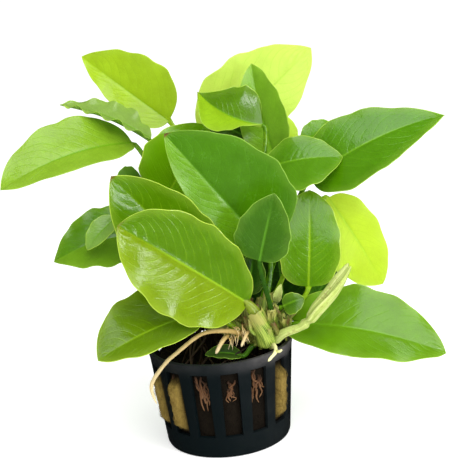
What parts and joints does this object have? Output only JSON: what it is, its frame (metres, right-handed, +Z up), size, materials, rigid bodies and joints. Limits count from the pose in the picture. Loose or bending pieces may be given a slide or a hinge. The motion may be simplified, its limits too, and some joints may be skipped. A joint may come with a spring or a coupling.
{
  "type": "potted anubias plant",
  "caption": "Small broad-leaved aquarium plant growing from a creeping rhizome in a round black slotted net pot packed with rock wool.",
  "frame": {"origin": "middle of the underside of the pot", "axes": "+Z up through the pot, -Y towards the plant's front, +X to its right"},
  "size_m": [0.1355, 0.0916, 0.1216],
  "materials": {
    "pot_plastic": "gloss",
    "rock_wool": "matte",
    "rhizome_skin": "satin",
    "root_skin": "matte",
    "withered_leaf": "satin",
    "leaf_yellow": "satin",
    "leaf_young": "satin",
    "leaf_dark": "satin",
    "leaf_green": "satin"
  },
  "bodies": {
    "root": {"leaf_back_high": "leaf_green", "leaf_back_left": "leaf_green", "leaf_back_low": "leaf_green", "leaf_back_right": "leaf_green", "leaf_behind_left": "leaf_young", "leaf_centre_large": "leaf_dark", "leaf_cupped": "leaf_green", "leaf_edge_on": "leaf_green", "leaf_far_left": "leaf_green", "leaf_front_large": "leaf_young", "leaf_front_small": "leaf_dark", "leaf_gap_back": "leaf_dark", "leaf_gap_dark": "leaf_dark", "leaf_in_pot": "leaf_dark", "leaf_left_dark": "leaf_dark", "leaf_low_left": "leaf_green", "leaf_low_left_small": "leaf_green", "leaf_low_right_tiny": "leaf_green", "leaf_lower_left": "leaf_young", "leaf_lower_right": "leaf_green", "leaf_middle_left": "leaf_young", "leaf_middle_right": "leaf_young", "leaf_right_dark": "leaf_dark", "leaf_right_glossy": "leaf_green", "leaf_right_small": "leaf_green", "leaf_right_upper": "leaf_green", "leaf_right_yellow": "leaf_yellow", "leaf_shaded": "leaf_dark", "leaf_top_small": "leaf_yellow", "leaf_top_yellow": "leaf_yellow", "leaf_upper_left": "leaf_young", "leaf_upright": "leaf_green", "net_pot": "pot_plastic", "rhizome": "rhizome_skin", "rock_wool": "rock_wool", "root_forked": "root_skin", "root_long": "root_skin", "root_stub_left": "root_skin", "root_stub_right": "root_skin", "sheath_torn": "withered_leaf", "withered_leaf": "withered_leaf"}
  },
  "joints": []
}
